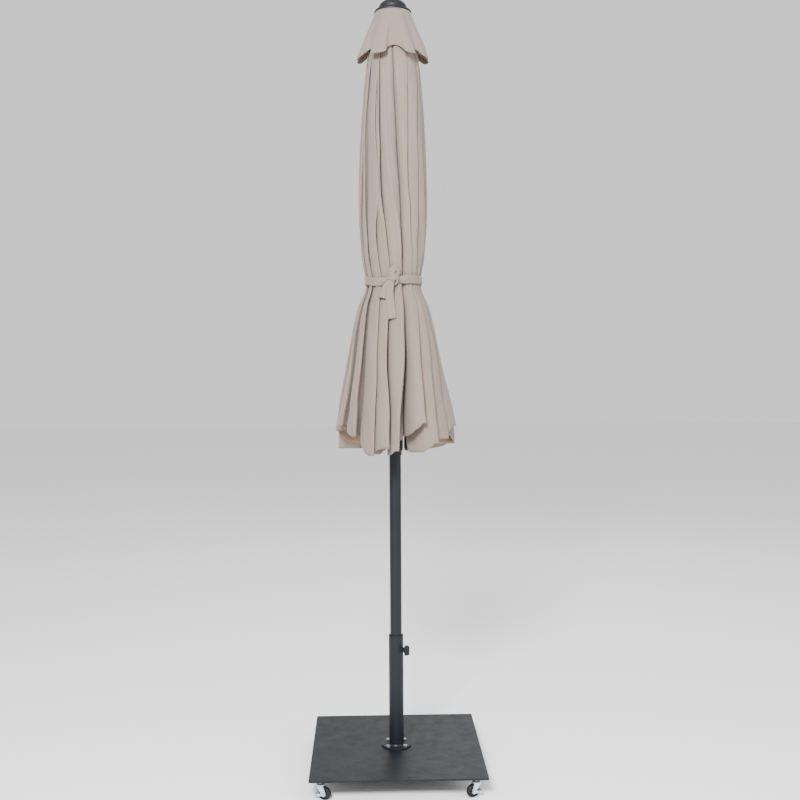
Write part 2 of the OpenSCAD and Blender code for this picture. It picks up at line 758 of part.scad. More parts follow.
rib(4);  // rib_4
rib(5);  // rib_5
rib(6);  // rib_6
rib(7);  // rib_7
rib(8);  // rib_8
strut(1);  // strut_1
strut(2);  // strut_2
strut(3);  // strut_3
strut(4);  // strut_4
strut(5);  // strut_5
strut(6);  // strut_6
strut(7);  // strut_7
strut(8);  // strut_8
canopy_panel(1);  // canopy_panel_1
canopy_panel(2);  // canopy_panel_2
canopy_panel(3);  // canopy_panel_3
canopy_panel(4);  // canopy_panel_4
canopy_panel(5);  // canopy_panel_5
canopy_panel(6);  // canopy_panel_6
canopy_panel(7);  // canopy_panel_7
canopy_panel(8);  // canopy_panel_8
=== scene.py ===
"""Look of the folded market umbrella: cloth, finishes, light and camera. Metres, in the row frame."""
import json
import math

import bmesh
import bpy
import numpy as np
from mathutils import Matrix, Vector, noise


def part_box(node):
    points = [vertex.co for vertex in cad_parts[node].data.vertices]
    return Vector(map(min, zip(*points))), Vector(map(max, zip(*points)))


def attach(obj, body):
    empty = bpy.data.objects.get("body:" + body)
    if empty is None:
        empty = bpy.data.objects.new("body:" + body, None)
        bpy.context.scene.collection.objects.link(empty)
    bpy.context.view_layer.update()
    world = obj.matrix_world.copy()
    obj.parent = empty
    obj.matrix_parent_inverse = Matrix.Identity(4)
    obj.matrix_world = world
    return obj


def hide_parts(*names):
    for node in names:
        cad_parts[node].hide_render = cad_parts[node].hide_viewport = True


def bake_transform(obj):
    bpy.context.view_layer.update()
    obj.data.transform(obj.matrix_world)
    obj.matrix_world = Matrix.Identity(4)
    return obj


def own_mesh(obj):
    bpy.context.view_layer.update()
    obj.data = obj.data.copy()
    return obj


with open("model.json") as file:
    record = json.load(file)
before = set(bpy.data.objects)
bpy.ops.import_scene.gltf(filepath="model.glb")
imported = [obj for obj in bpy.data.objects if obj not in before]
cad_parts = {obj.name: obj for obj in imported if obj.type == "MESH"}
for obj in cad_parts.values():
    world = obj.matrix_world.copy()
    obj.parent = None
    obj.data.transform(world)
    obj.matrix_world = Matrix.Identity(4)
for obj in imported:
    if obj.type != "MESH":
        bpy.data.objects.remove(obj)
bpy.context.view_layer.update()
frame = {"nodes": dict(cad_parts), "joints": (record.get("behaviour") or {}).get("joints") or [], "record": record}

# ---------------------------------------------------------------- measures
RIB_OUTER = 0.047
CROWN_Z = 2.416
RIB_LEN = 1.370
OPEN_ANGLE = math.radians(72)
TIE_Z = 1.593
TIE_W = 0.027
BRIM_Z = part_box("finial_cap")[0].z
CLOTH = 0.0009
SECTORS = 8

# the folded canopy's top, and the least radius it may have round the ribs, at a fold's foot and anywhere
CANOPY_TOP = 2.404
FOOT_CLEAR_R, CLEAR_R = 0.0535, 0.0525
# half width of the folded canopy: height, radius
OUTLINE = [
    (2.410, 0.062), (2.285, 0.083), (2.150, 0.096), (2.010, 0.104), (1.870, 0.110), (1.800, 0.110),
    (1.740, 0.107), (1.665, 0.100), (1.625, 0.0930), (1.605, 0.0885), (1.572, 0.0882), (1.550, 0.0945),
    (1.526, 0.106), (1.449, 0.129), (1.372, 0.146), (1.294, 0.161), (1.216, 0.178), (1.164, 0.190),
    (1.129, 0.197), (1.020, 0.202),
]
# radius at the foot of a fold, as a share of the outside
FOLD_FLOOR = [(2.41, 0.90), (2.28, 0.70), (2.07, 0.56), (1.86, 0.50), (1.70, 0.54), (1.593, 0.66), (1.50, 0.54),
              (1.35, 0.42), (1.165, 0.34), (1.02, 0.34)]
# heights at which the folds' feet are placed, and the angle of each front foot there, right of the front
FOOT_HEIGHTS = [2.285, 2.070, 1.870, 1.735, 1.593, 1.390, 1.165]
FRONT_FEET = [
    [-82, -80, -78, -82, -80, -74, -70], [-64, -66, -62, -63, -61, -53, -47],
    [-44, -45, -36, -41, -38, -33, -29], [-34, -33, -28, -22, -17, -16, -13],
    [-22, -17, -7, 2, 5, 5, 0], [-2, 4, 12, 15, 20, 17, 13],
    [22, 20, 20, 25, 35, 29, 25], [47, 40, 40, 40, 46, 44, 39],
    [62, 58, 56, 61, 60, 60, 56], [80, 80, 79, 80, 80, 78, 75],
]
# the feet round the back, evenly set from the first angle by the step
BACK_FEET, BACK_FIRST, BACK_STEP = 14, 97.0, 12.9
FEET = FRONT_FEET + [[BACK_FIRST + BACK_STEP * k] * len(FOOT_HEIGHTS) for k in range(BACK_FEET)]
# first fold of the cloth that rides on each rib
FIRST_FOLD = {5: 22, 6: 1, 7: 4, 8: 7, 1: 10, 2: 13, 3: 16, 4: 19}
FOLDS_ON = 3
# how far each fold's free edge laps over the next foot, as a share of the fold's width; + is to the right
LAPS = [0.30, 0.40, 0.36, 0.30, -0.04, 0.34, 0.30, 0.36, 0.42, 0.3, 0.38, 0.34,
        0.4, 0.3, 0.36, 0.42, 0.33, 0.38, 0.3, 0.35, 0.32, 0.38, 0.36, 0.30]
# height of the hem at the left and right edge of each fold's outer face
HEMS = [
    (1.140, 1.104), (1.108, 1.046), (1.046, 1.074), (1.040, 1.062), (1.082, 1.100), (1.100, 1.148),
    (1.048, 1.080), (1.078, 1.094), (1.096, 1.128), (1.120, 1.060), (1.050, 1.090), (1.095, 1.130),
    (1.125, 1.070), (1.068, 1.048), (1.055, 1.105), (1.110, 1.135), (1.130, 1.085), (1.080, 1.046),
    (1.050, 1.100), (1.105, 1.128), (1.120, 1.062), (1.058, 1.050), (1.062, 1.110), (1.112, 1.135),
]
# share of its full height that each fold's crest keeps near the hem
SINKS = {3: 0.93, 4: 0.72, 7: 0.95, 12: 0.9, 17: 0.92, 21: 0.93}
# one pleat from foot to foot, when its free edge laps to the right: share of the width, share of the height;
# the widths in LAPPED take the lap in full or in part
PLEAT = [
    (0, 0), (0.015, 0.26), (0.05, 0.46), (0.13, 0.62), (0.28, 0.78), (0.52, 0.90), (0.78, 0.97),
    (0.95, 1.0), (1.0, 0.975), (0.97, 0.91), (0.94, 0.78), (0.97, 0.55), (0.99, 0.30), (1.0, 0),
]
LAPPED = [0, 0, 0, 0, 0.1, 0.35, 0.75, 1.0, 1.02, 0.98, 0.5, 0.1, 0, 0]
PART_STEPS = 2
FOLD_STEPS = PART_STEPS * (len(PLEAT) - 1)
ROWS = 150
# the vent: radius at the cap and at the hem, height, depth and lift of the flutes at their feet
VENT_TOP_R, VENT_HEM_R, VENT_DROP = 0.056, 0.116, 0.151
FLUTE_DEPTH, FLUTE_LIFT = 0.31, 0.20
# angle of each flute's foot in degrees right of the front, and how far the flute leans, as a share of its width
VENT_FEET = [-50, 3, 36, 92, 138, 184, 228, 270]
VENT_LEANS = [-0.10, 0.34, 0.12, -0.3, 0.3, -0.3, 0.25, -0.22]


def along(stations, x):
    """The value at x on a smooth line through (x, value) stations."""
    pts = sorted(stations)
    xs = np.array([p[0] for p in pts])
    ys = np.array([p[1] for p in pts])
    slope = np.gradient(ys, xs)
    x = np.clip(np.asarray(x, float), xs[0], xs[-1])
    k = np.clip(np.searchsorted(xs, x) - 1, 0, len(xs) - 2)
    h = xs[k + 1] - xs[k]
    t = (x - xs[k]) / h
    return (
        (2 * t**3 - 3 * t**2 + 1) * ys[k] + (t**3 - 2 * t**2 + t) * h * slope[k]
        + (-2 * t**3 + 3 * t**2) * ys[k + 1] + (t**3 - t**2) * h * slope[k + 1]
    )


def around(a):
    """Unit vector a radians to the right of the front, seen from the front."""
    return Vector((math.sin(a), -math.cos(a), 0))


def rib_angle(i):
    """World angle of rib i."""
    return math.radians(22.5 + 45 * (i - 1))


def rib_out(i):
    a = rib_angle(i)
    return Vector((math.cos(a), math.sin(a), 0))


def rib_side(i):
    a = rib_angle(i)
    return Vector((-math.sin(a), math.cos(a), 0))


def grid_mesh(name, points, uvs, mats, outward=True):
    """A mesh from rows of points; uvs are in metres along the cloth. outward=False turns its faces over."""
    rows, cols = len(points), len(points[0])
    verts = [p for row in points for p in row]
    faces, flat_uv = [], []
    for r in range(rows - 1):
        for c in range(cols - 1):
            corners = [(r, c), (r, c + 1), (r + 1, c + 1), (r + 1, c)]
            if not outward:
                corners.reverse()
            faces.append([i * cols + j for i, j in corners])
            flat_uv += [uvs[i][j] for i, j in corners]
    mesh = bpy.data.meshes.new(name)
    mesh.from_pydata(verts, [], faces)
    layer = mesh.uv_layers.new(name="cloth")
    layer.data.foreach_set("uv", np.array(flat_uv, np.float32).ravel())
    mesh.polygons.foreach_set("use_smooth", [True] * len(faces))
    obj = bpy.data.objects.new(name, mesh)
    bpy.context.scene.collection.objects.link(obj)
    for m in mats:
        mesh.materials.append(m)
    return obj


def lengths_along(points):
    """Distance along each row and down each column, as uv in metres."""
    p = np.array([[tuple(v) for v in row] for row in points])
    across = np.zeros(p.shape[:2])
    across[:, 1:] = np.cumsum(np.linalg.norm(np.diff(p, axis=1), axis=2), axis=1)
    down = np.zeros(p.shape[:2])
    down[1:] = np.cumsum(np.linalg.norm(np.diff(p, axis=0), axis=2), axis=0)
    across = across - across[:, -1:] / 2
    return np.stack([across, down], axis=2).tolist()


def thicken(obj, thickness=CLOTH):
    """Gives a cloth surface its thickness; its back takes the second material."""
    mod = obj.modifiers.new("thickness", "SOLIDIFY")
    mod.thickness = thickness
    mod.offset = 0
    mod.use_even_offset = False
    mod.material_offset = 1


# ---------------------------------------------------------------- finishes
# the part of a noise's range that its colours and bumps are spread over
NOISE_LOW, NOISE_HIGH = 0.3, 0.7


def new_material(name, color, roughness, metallic=0.0):
    mat = bpy.data.materials.new(name)
    mat.use_nodes = True
    shader = mat.node_tree.nodes["Principled BSDF"]
    shader.inputs["Base Color"].default_value = (*color, 1)
    shader.inputs["Roughness"].default_value = roughness
    shader.inputs["Metallic"].default_value = metallic
    mat.diffuse_color = (*color, 1)
    return mat, mat.node_tree, shader


def noise_node(tree, coords, scale, detail=4.0, rough=0.55, stretch=None):
    n = tree.nodes.new("ShaderNodeTexNoise")
    n.inputs["Scale"].default_value = scale
    n.inputs["Detail"].default_value = detail
    n.inputs["Roughness"].default_value = rough
    source = coords
    if stretch:
        m = tree.nodes.new("ShaderNodeMapping")
        m.inputs["Scale"].default_value = stretch
        tree.links.new(coords, m.inputs["Vector"])
        source = m.outputs["Vector"]
    tree.links.new(source, n.inputs["Vector"])
    return n.outputs["Fac"]


def spread(tree, value, low, high):
    """value, a noise, spread over low to high."""
    n = tree.nodes.new("ShaderNodeMapRange")
    n.inputs["From Min"].default_value = NOISE_LOW
    n.inputs["From Max"].default_value = NOISE_HIGH
    n.inputs["To Min"].default_value = low
    n.inputs["To Max"].default_value = high
    tree.links.new(value, n.inputs["Value"])
    return n.outputs["Result"]


def tint(tree, value, dark, light):
    n = tree.nodes.new("ShaderNodeValToRGB")
    n.color_ramp.elements[0].position = NOISE_LOW
    n.color_ramp.elements[1].position = NOISE_HIGH
    n.color_ramp.elements[0].color = (*dark, 1)
    n.color_ramp.elements[1].color = (*light, 1)
    tree.links.new(value, n.inputs["Fac"])
    return n.outputs["Color"]


def bump(tree, shader, height, strength, distance, before=None):
    n = tree.nodes.new("ShaderNodeBump")
    n.inputs["Strength"].default_value = strength
    n.inputs["Distance"].default_value = distance
    tree.links.new(height, n.inputs["Height"])
    if before:
        tree.links.new(before.outputs["Normal"], n.inputs["Normal"])
    tree.links.new(n.outputs["Normal"], shader.inputs["Normal"])
    return n


def shade(color, factor):
    return tuple(min(1.0, c * factor) for c in color)


def painted(name, color, roughness=0.42, grain=900.0, grain_depth=0.0002):
    """Powder coat: fine orange peel, patchy gloss and a little dust."""
    mat, tree, shader = new_material(name, color, roughness)
    coords = tree.nodes.new("ShaderNodeTexCoord").outputs["Object"]
    patch = noise_node(tree, coords, 9.0, 5.0)
    tree.links.new(tint(tree, patch, shade(color, 0.88), shade(color, 1.14)), shader.inputs["Base Color"])
    smear = noise_node(tree, coords, 26.0, 6.0, 0.62, (1, 1, 0.35))
    tree.links.new(spread(tree, smear, roughness - 0.07, roughness + 0.10), shader.inputs["Roughness"])
    peel = noise_node(tree, coords, grain, 3.0)
    bump(tree, shader, peel, 0.35, grain_depth)
    shader.inputs["Specular IOR Level"].default_value = 0.24
    return mat


def zinc_plate(name, color, roughness=0.34):
    mat, tree, shader = new_material(name, color, roughness, 0.9)
    coords = tree.nodes.new("ShaderNodeTexCoord").outputs["Object"]
    bloom = noise_node(tree, coords, 60.0, 6.0, 0.65)
    tree.links.new(tint(tree, bloom, shade(color, 0.78), shade(color, 1.15)), shader.inputs["Base Color"])
    streak = noise_node(tree, coords, 210.0, 4.0, 0.6, (1, 1, 0.15))
    tree.links.new(spread(tree, streak, roughness - 0.08, roughness + 0.16), shader.inputs["Roughness"])
    bump(tree, shader, streak, 0.25, 0.0001)
    return mat


def moulded(name, color, roughness=0.5, grain=1400.0):
    """Moulded plastic or rubber with a fine spark-eroded grain and some rubbed spots."""
    mat, tree, shader = new_material(name, color, roughness)
    coords = tree.nodes.new("ShaderNodeTexCoord").outputs["Object"]
    patch = noise_node(tree, coords, 30.0, 5.0)
    tree.links.new(tint(tree, patch, shade(color, 0.85), shade(color, 1.25)), shader.inputs["Base Color"])
    tree.links.new(spread(tree, patch, roughness - 0.06, roughness + 0.10), shader.inputs["Roughness"])
    bump(tree, shader, noise_node(tree, coords, grain, 2.0), 0.3, 0.00012)
    shader.inputs["Specular IOR Level"].default_value = 0.27
    return mat


def woven(name, color, thread=0.0013):
    """Plain-woven polyester: crossing threads with slubs, soft creases and a faint sheen."""
    mat, tree, shader = new_material(name, color, 0.86)
    coords = tree.nodes.new("ShaderNodeTexCoord")
    uv = coords.outputs["UV"]
    waves = []
    for direction in ("X", "Y"):
        w = tree.nodes.new("ShaderNodeTexWave")
        w.wave_type = "BANDS"
        w.bands_direction = direction
        w.inputs["Scale"].default_value = 1 / thread / (2 * math.pi)
        w.inputs["Distortion"].default_value = 0.6
        w.inputs["Detail"].default_value = 1.0
        w.inputs["Detail Scale"].default_value = 2.0
        tree.links.new(uv, w.inputs["Vector"])
        waves.append(w.outputs["Fac"])
    weave = tree.nodes.new("ShaderNodeMath")
    weave.operation = "MULTIPLY"
    tree.links.new(waves[0], weave.inputs[0])
    tree.links.new(waves[1], weave.inputs[1])
    slub = noise_node(tree, uv, 420.0, 3.0, 0.6, (1, 0.12, 1))
    mottle = noise_node(tree, coords.outputs["Object"], 7.0, 5.0, 0.55, (1, 1, 0.4))
    mixed = tree.nodes.new("ShaderNodeMix")
    mixed.inputs["Factor"].default_value = 0.5
    tree.links.new(slub, mixed.inputs["A"])
    tree.links.new(mottle, mixed.inputs["B"])
    dark = (color[0] * 0.90, color[1] * 0.885, color[2] * 0.87)
    light = (min(1, color[0] * 1.07), min(1, color[1] * 1.065), min(1, color[2] * 1.06))
    tree.links.new(tint(tree, mixed.outputs["Result"], dark, light), shader.inputs["Base Color"])
    threads = bump(tree, shader, weave.outputs["Value"], 0.35, 0.00025)
    crease = noise_node(tree, uv, 16.0, 4.0, 0.5, (1, 0.3, 1))
    bump(tree, shader, crease, 0.22, 0.004, threads)
    tree.links.new(spread(tree, slub, 0.80, 0.93), shader.inputs["Roughness"])
    shader.inputs["Sheen Weight"].default_value = 0.12
    shader.inputs["Sheen Roughness"].default_value = 0.5
    shader.inputs["Specular IOR Level"].default_value = 0.25
    return mat


SLATE = (0.0052, 0.0062, 0.0092)
FABRIC_COLOR = (0.180, 0.139, 0.118)
MATS = {
    "frame_paint": painted("slate_powder_coat", SLATE),
    "bolt_steel": zinc_plate("plated_steel", (0.40, 0.41, 0.43)),
    "spring_steel": zinc_plate("spring_strip", (0.5, 0.5, 0.52), 0.3),
    "zinc": zinc_plate("bright_zinc", (0.56, 0.59, 0.63), 0.30),
    "black_plastic": moulded("charcoal_plastic", (0.0060, 0.0068, 0.0090)),
    "wheel_rubber": moulded("black_tyre", (0.007, 0.007, 0.0075), 0.6, 800.0),
    "black_fabric": moulded("felt", (0.045, 0.045, 0.05), 0.9, 2500.0),
}
CLOTH_OUT = woven("taupe_weave", FABRIC_COLOR)
CLOTH_IN = woven("taupe_weave_inside", (0.235, 0.160, 0.112))


def finish_cad():
    """Gives each CAD node its slot's finish."""
    slots = {s["node"]: s["material_slot"] for s in frame["record"]["subparts"]}
    for name, obj in frame["nodes"].items():
        slot = slots[name]
        if slot not in MATS:
            continue
        obj.data.materials.clear()
        obj.data.materials.append(MATS[slot])


# ---------------------------------------------------------------- folded canopy
def smooth_line(values, steps):
    """values with steps - 1 more between each two, on a smooth line through them."""
    at = np.arange(len(values), dtype=float)
    return along(list(zip(at, values)), np.linspace(0, len(values) - 1, steps * (len(values) - 1) + 1))


def pleat_shape(lap):
    """Across and up, 0 to 1, along one pleat from its left foot to its right one."""
    x = [p[0] + abs(lap) * share for p, share in zip(PLEAT, LAPPED)]
    y = [p[1] for p in PLEAT]
    if lap < 0:
        x, y = [1 - v for v in x[::-1]], y[::-1]
    return smooth_line(x, PART_STEPS), smooth_line(y, PART_STEPS)


PLEATS = [pleat_shape(lap) for lap in LAPS]


def fold_shape(lean=1.62, steps=26):
    """Across and up, 0 to 1, along one wave of buckled cloth, from foot to foot."""
    s = np.linspace(0, 1, 401)
    heading = lean * np.sin(2 * np.pi * s)
    x = np.concatenate([[0], np.cumsum((np.cos(heading[1:]) + np.cos(heading[:-1])) / 2)])
    y = np.concatenate([[0], np.cumsum((np.sin(heading[1:]) + np.sin(heading[:-1])) / 2)])
    x, y = x / x[-1], y / y.max()
    at = np.linspace(0, 1, steps + 1)
    return np.interp(at, s, x), np.interp(at, s, y)


def wander(seed, x, rate):
    """A smooth line between about -1 and 1 that never repeats, different for each seed."""
    x = np.asarray(x, float) * rate
    return (
        0.55 * np.sin(x * 1.00 + seed * 2.399) + 0.30 * np.sin(x * 2.17 + seed * 5.131)
        + 0.20 * np.sin(x * 4.73 + seed * 1.713)
    )


def foot_angle(k, z):
    turn, k = divmod(k, len(FEET))
    return along(list(zip(FOOT_HEIGHTS, FEET[k])), z) + 360 * turn + 1.1 * wander(k, z, 7)


def outline(z, a):
    """Outside radius at height z, a degrees right of the front; the left side hangs a little fuller."""
    lean = 0.0035 * np.exp(-(((z - 1.75) / 0.35) ** 2))
    return along(OUTLINE, z) - lean * np.sin(np.radians(a))


def hem_z(k, c):
    """Height of the hem at step c of fold k."""
    left, right = HEMS[k % len(HEMS)]
    t = float(np.clip(PLEATS[k % len(PLEATS)][0][c], 0, 1))
    foot = 0.012 * (1 - min(1.0, 4 * PLEATS[k % len(PLEATS)][1][c]))
    return left + (right - left) * t + foot + 0.004 * float(wander(k + 0.3, t, 5))


def fold_point(k, c, z):
    """Angle in degrees and radius of step c of fold k at heights z."""
    kk = k % len(FEET)
    x, y = PLEATS[kk][0][c], PLEATS[kk][1][c]
    a0, a1 = foot_angle(k, z), foot_angle(k + 1, z)
    low = np.clip((1.50 - z) / 0.30, 0, 1)
    keep = 1 + (SINKS.get(kk, 1.0) - 1) * low**1.5
    crest = outline(z, (a0 + a1) / 2) * keep * (1 + (0.012 + 0.020 * low) * wander(kk + 20, z, 4) - 0.006)
    floor = along(FOLD_FLOOR, z)
    feet = []
    for j in (k, k + 1):
        rough = 1 + 0.08 * wander(j % len(FEET) + 40, z, 5)
        feet.append(np.maximum(FOOT_CLEAR_R, outline(z, foot_angle(j, z)) * floor * rough))
    narrow = np.clip((a1 - a0) / 9.0, 0, 1)
    foot = feet[0] + (feet[1] - feet[0]) * min(max(x, 0.0), 1.0)
    return a0 + (a1 - a0) * x, foot + (crest - foot) * y * (0.4 + 0.6 * narrow)


def canopy_piece(rib):
    """Rows of points down the gore that rib carries, foot to foot."""
    first, count = FIRST_FOLD[rib], FOLDS_ON
    t = np.linspace(0, 1, ROWS + 1)
    columns = []
    for k in range(first, first + count):
        for c in range(1 if k > first else 0, FOLD_STEPS + 1):
            z = CANOPY_TOP + (hem_z(k, c) - CANOPY_TOP) * t
            a, radius = fold_point(k, c, z)
            tie = np.exp(-(((z - TIE_Z) / 0.05) ** 2))
            where = (k + PLEATS[k % len(PLEATS)][0][c]) * 1.7
            ripple = 0.0013 * np.sin(where * 2.1 + z * 9 + wander(3, z, 6) * 1.5)
            ripple += 0.0007 * (1 + 2 * tie) * np.sin(where * 5.3 + 34 * z + wander(8, z, 11) * 2)
            radius = np.maximum(CLEAR_R, radius + ripple)
            a = np.radians(a)
            columns.append(np.stack([np.sin(a) * radius, -np.cos(a) * radius, z], axis=1))
    return np.stack(columns, axis=1).tolist()


def build_canopy():
    made = []
    for rib in range(1, SECTORS + 1):
        rows = canopy_piece(rib)
        obj = grid_mesh(f"folded_gore_{rib}", rows, lengths_along(rows), [CLOTH_OUT, CLOTH_IN], outward=False)
        thicken(obj)
        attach(obj, f"rib_{rib}")
        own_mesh(obj)
        made.append(obj)
    return made


def vent_section(t):
    """Points round the vent at t down from its top, as (angle, radius, drop)."""
    slope = VENT_TOP_R + (VENT_HEM_R - VENT_TOP_R) * (1 - (1 - t) ** 1.12)
    flute = max(0.0, (t - 0.03) / 0.97) ** 0.62
    points = []
    for k in range(SECTORS):
        a0 = VENT_FEET[k]
        a1 = VENT_FEET[(k + 1) % SECTORS] + (360 if k == SECTORS - 1 else 0)
        lean = VENT_LEANS[k] * (a1 - a0) * flute
        high = 1 + 0.05 * noise.noise(Vector((k * 4.7, t * 1.5, 11.0)))
        for c in range(VENT_STEPS):
            x, y = VENT_X[c], VENT_Y[c]
            up = 1 - (1 - y) ** 1.25
            even = c / VENT_STEPS
            across = even + (x - even) * flute
            crest = slope * (1 + (high - 1) * flute)
            foot = slope * (1 - FLUTE_DEPTH * flute * (0.55 + 0.45 * t))
            radius = foot + (crest - foot) * up
            drop = VENT_DROP * t ** 0.96 * (1 - FLUTE_LIFT * flute * (1 - up))
            points.append((a0 + (a1 - a0) * across + lean * up, radius, drop))
    return points


VENT_STEPS = 26
VENT_X, VENT_Y = fold_shape(1.72, VENT_STEPS)
VENT_ROWS = 46


def build_vent():
    """One sheet, clamped under the cap and fluted towards its hem."""
    top_z = BRIM_Z + 0.0005
    rows = []
    for r in range(VENT_ROWS + 1):
        t = r / VENT_ROWS
        row = []
        for a, radius, drop in vent_section(t):
            ripple = 0.0014 * noise.noise(Vector((a * 0.05, t * 5.0, 8.0))) * min(1.0, t * 4)
            p = around(math.radians(a)) * (radius + ripple)
            row.append((p.x, p.y, top_z - drop))
        rows.append(row)
    inner = [[(x * k, y * k, top_z - 0.0002) for x, y, _ in rows[0]] for k in (0.25, 0.6, 0.9)]
    rows = inner + rows
    for row in rows:
        row.append(row[0])
    obj = grid_mesh("vent_cloth", rows, lengths_along(rows), [CLOTH_OUT, CLOTH_IN], outward=False)
    weld(obj)
    thicken(obj)
    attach(obj, "pole")
    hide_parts("vent_canopy")
    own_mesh(obj)
    return obj


def weld(obj):
    """Joins the seam where a closed strip meets itself."""
    bm = bmesh.new()
    bm.from_mesh(obj.data)
    bmesh.ops.remove_doubles(bm, verts=bm.verts, dist=1e-6)
    bm.to_mesh(obj.data)
    bm.free()


# ---------------------------------------------------------------- tie
TIE_BODY = "rib_6"
KNOT_ANGLE = -3.0
# how far the strap's centre stands outside the folds
STRAP_OUT = 0.0044


def tie_path(a):
    """Centre of the strap a degrees right of the front: on the folds, a little lower left of the knot."""
    r = outline(TIE_Z, a) + STRAP_OUT
    near = math.exp(-((a - KNOT_ANGLE) / 30) ** 2)
    dip = -0.006 * math.exp(-((a + 34) / 26) ** 2) + 0.002 * math.exp(-((a - 40) / 22) ** 2)
    p = around(math.radians(a)) * (r + 0.004 * near)
    return Vector((p.x, p.y, TIE_Z + dip))


def build_strap():
    """The strap from one side of the knot, round the back, to the other side."""
    steps, across = 150, 8
    start, turn = KNOT_ANGLE + 5, 350
    rows = []
    for s in range(steps + 1):
        a = start + turn * s / steps
        c = tie_path((a + 180) % 360 - 180)
        out = around(math.radians(a))
        gap = min(s, steps - s) / steps * turn
        pinch = 1 - 0.52 * math.exp(-(gap / 11) ** 2)
        curl = 0.0035 * math.exp(-(gap / 16) ** 2)
        row = []
        for w in range(across + 1):
            v = w / across - 0.5
            wave = 0.0009 * noise.noise(Vector((a * 0.16, v * 3, 1.5)))
            fold = curl * math.cos(v * 3 * math.pi) + wave - 0.0012 * (2 * v) ** 4
            tilt = 0.0012 * math.sin(math.radians(a * 3)) * v
            row.append(tuple(c + out * (fold + tilt) + Vector((0, 0, v * TIE_W * pinch))))
        rows.append(row)
    return finish_strip("tie_strap_round", rows)


def finish_strip(name, rows, thickness=0.0016):
    obj = grid_mesh(name, rows, lengths_along(rows), [CLOTH_OUT, CLOTH_OUT])
    thicken(obj, thickness)
    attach(obj, TIE_BODY)
    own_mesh(obj)
    return obj


def cubic(points, k, t):
    """The point a share t of the way from point k to the next, on a smooth line through all the points."""
    a, b = points[k], points[k + 1]
    before, after = points[max(0, k - 1)], points[min(len(points) - 1, k + 2)]
    return (
        (2 * t**3 - 3 * t**2 + 1) * a + (t**3 - 2 * t**2 + t) * ((b - before) / 2)
        + (-2 * t**3 + 3 * t**2) * b + (t**3 - t**2) * ((after - a) / 2)
    )


def ribbon(name, line, widths, turns, across=6, crown=0.0012, fine=6):
    """A strip along line, a list of points; turns tilts its width about the line, in degrees."""
    points = [Vector(p) for p in line]
    steps = [(k, j / fine) for k in range(len(points) - 1) for j in range(fine)] + [(len(points) - 2, 1.0)]
    centres = [cubic(points, k, t) for k, t in steps]
    rows = []
    for n, (k, t) in enumerate(steps):
        centre = centres[n]
        ahead = (centres[min(n + 1, len(centres) - 1)] - centres[max(n - 1, 0)]).normalized()
        side = ahead.cross(around(math.atan2(centre.x, -centre.y))).normalized()
        face = side.cross(ahead).normalized()
        turn = math.radians(turns[k] + (turns[k + 1] - turns[k]) * t)
        width = widths[k] + (widths[k + 1] - widths[k]) * t
        u = side * math.cos(turn) + face * math.sin(turn)
        up = face * math.cos(turn) - side * math.sin(turn)
        row = []
        for w in range(across + 1):
            v = w / across - 0.5
            wave = 0.0007 * noise.noise(Vector((n * 0.35, v * 4, len(name))))
            row.append(tuple(centre + u * (v * width) + up * (crown * (1 - (2 * v) ** 2) + wave)))
        rows.append(row)
    return finish_strip(name, rows)


def coil(centre, reach, first, step, count, twist=0):
    """Points round a centre; reach is the half size across, outward and up, twist 1 makes a figure eight."""
    points = []
    for k in range(count):
        angle = math.radians(first + k * step)
        up = math.sin(angle * 2) if twist else math.cos(angle)
        x, y = centre[0] + reach[0] * math.sin(angle), centre[1] - reach[1] * math.cos(angle)
        points.append((x, y, centre[2] + reach[2] * up))
    return points


def hung(anchor, offsets):
    """Points at offsets from anchor, across, out and up."""
    return [(anchor[0] + x, anchor[1] - out, anchor[2] + z) for x, out, z in offsets]


# the loop and the loose ends: offsets from the knot across, out and up
LOOP = [
    (0.001, 0.009, 0.000), (-0.004, 0.011, 0.013), (-0.001, 0.010, 0.027), (0.006, 0.007, 0.034),
    (0.012, 0.005, 0.024), (0.010, 0.007, 0.010), (0.004, 0.009, 0.001),
]
LONG_END = [
    (-0.001, 0.010, -0.004), (-0.008, 0.012, -0.022), (-0.012, 0.013, -0.045), (-0.010, 0.017, -0.070),
    (-0.007, 0.023, -0.097), (-0.005, 0.030, -0.125),
]
SHORT_END = [
    (-0.002, 0.009, -0.002), (-0.013, 0.009, -0.014), (-0.023, 0.008, -0.030), (-0.031, 0.009, -0.048),
    (-0.035, 0.012, -0.060),
]
LOOP_WIDTHS = [0.011, 0.017, 0.021, 0.022, 0.021, 0.017, 0.011]
LONG_WIDTHS = [0.012, 0.021, 0.026, 0.027, 0.027, 0.027]
SHORT_WIDTHS = [0.012, 0.019, 0.024, 0.026, 0.026]


def build_knot():
    """Knot wrap, half bow, and the two loose ends."""
    x, y, z = -0.006, -(outline(TIE_Z, 0) + 0.006), TIE_Z + 0.002
    wrap = coil((x, y - 0.006, z), (0.0115, 0.0085, 0.0055), -35, 40, 9, twist=1)
    cross = coil((x + 0.003, y - 0.008, z - 0.003), (0.008, 0.007, 0.012), 200, -38, 8)
    return [
        ribbon("tie_knot", wrap, [0.016] * 9, [0] * 9, crown=0.0016),
        ribbon("tie_knot_cross", cross, [0.013] * 8, [20] * 8, crown=0.0015),
        ribbon("tie_loop", hung((x, y, z), LOOP), LOOP_WIDTHS, [0, 8, 14, 20, 12, 6, 0]),
        ribbon("tie_long_end", hung((x, y, z), LONG_END), LONG_WIDTHS, [0, -6, 2, 5, 0, -3]),
        ribbon("tie_short_end", hung((x, y, z), SHORT_END), SHORT_WIDTHS, [0, 14, 10, 4, 0]),
    ]


# ---------------------------------------------------------------- open canopy
FAN_TOP, FAN_HEM = 2.392, CROWN_Z - RIB_LEN + 0.006
